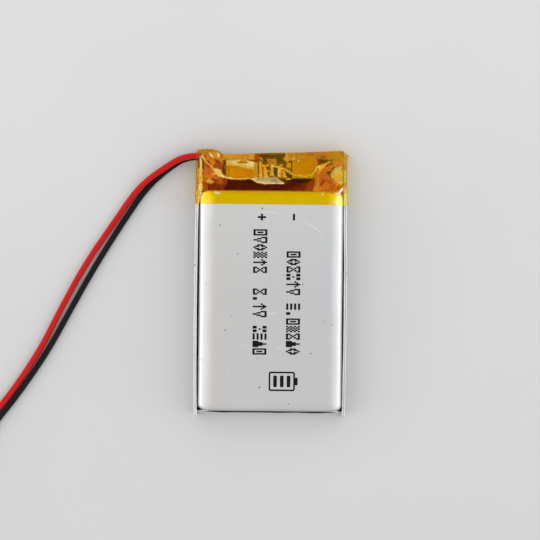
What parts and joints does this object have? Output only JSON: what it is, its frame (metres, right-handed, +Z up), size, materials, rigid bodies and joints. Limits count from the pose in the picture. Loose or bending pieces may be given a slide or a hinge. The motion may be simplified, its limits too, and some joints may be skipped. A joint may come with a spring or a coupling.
{
  "type": "pouch battery cell",
  "caption": "Flat rectangular foil pouch battery cell with folded side seals, a taped protection board on its head and two insulated leads.",
  "frame": {"origin": "centre of the cell body's footprint, on the surface that it rests on", "axes": "+Z up out of the front face, +Y along the cell towards its head, where the tabs and board are, +X to the right seen from the front"},
  "size_m": [0.0644, 0.0642, 0.0062],
  "materials": {
    "foil_laminate": "satin aluminium laminate with a nylon outer face",
    "anode_coating": "graphite coating on copper foil",
    "cathode_coating": "metal oxide coating on aluminium foil",
    "separator_film": "white porous polymer film",
    "green_tape": "green polyester tape",
    "aluminium_tab": "bare rolled aluminium strip",
    "nickel": "bare rolled nickel strip",
    "tab_film": "translucent sealing film",
    "insulating_paper": "thin insulating paper with adhesive",
    "board_laminate": "green solder resist on glass-fibre laminate",
    "chip_resin": "black moulded resin",
    "part_ceramic": "fired ceramic body",
    "tinned_copper": "tinned copper",
    "solder": "bright solder",
    "red_insulation": "smooth red wire insulation",
    "black_insulation": "smooth black wire insulation",
    "polyimide_tape": "glossy see-through amber polyimide film"
  },
  "bodies": {
    "root": {"pouch_cup": "foil_laminate", "pouch_back_sheet": "foil_laminate", "anode_sheet": "anode_coating", "cathode_sheet": "cathode_coating", "inner_separator": "separator_film", "outer_separator": "separator_film", "roll_end_tape": "green_tape", "positive_tab": "aluminium_tab", "negative_tab": "nickel", "positive_tab_film": "tab_film", "negative_tab_film": "tab_film", "terrace_insulator": "insulating_paper", "circuit_board": "board_laminate", "positive_nickel_plate": "nickel", "negative_nickel_plate": "nickel", "protection_chip": "chip_resin", "chip_leads": "tinned_copper", "filter_resistor": "part_ceramic", "filter_capacitor": "part_ceramic", "component_end_caps": "tinned_copper", "red_lead_insulation": "red_insulation", "red_lead_conductor": "tinned_copper", "black_lead_insulation": "black_insulation", "black_lead_conductor": "tinned_copper", "red_solder_joint": "solder", "black_solder_joint": "solder", "board_tape": "polyimide_tape", "band_tape": "polyimide_tape"}
  },
  "joints": []
}
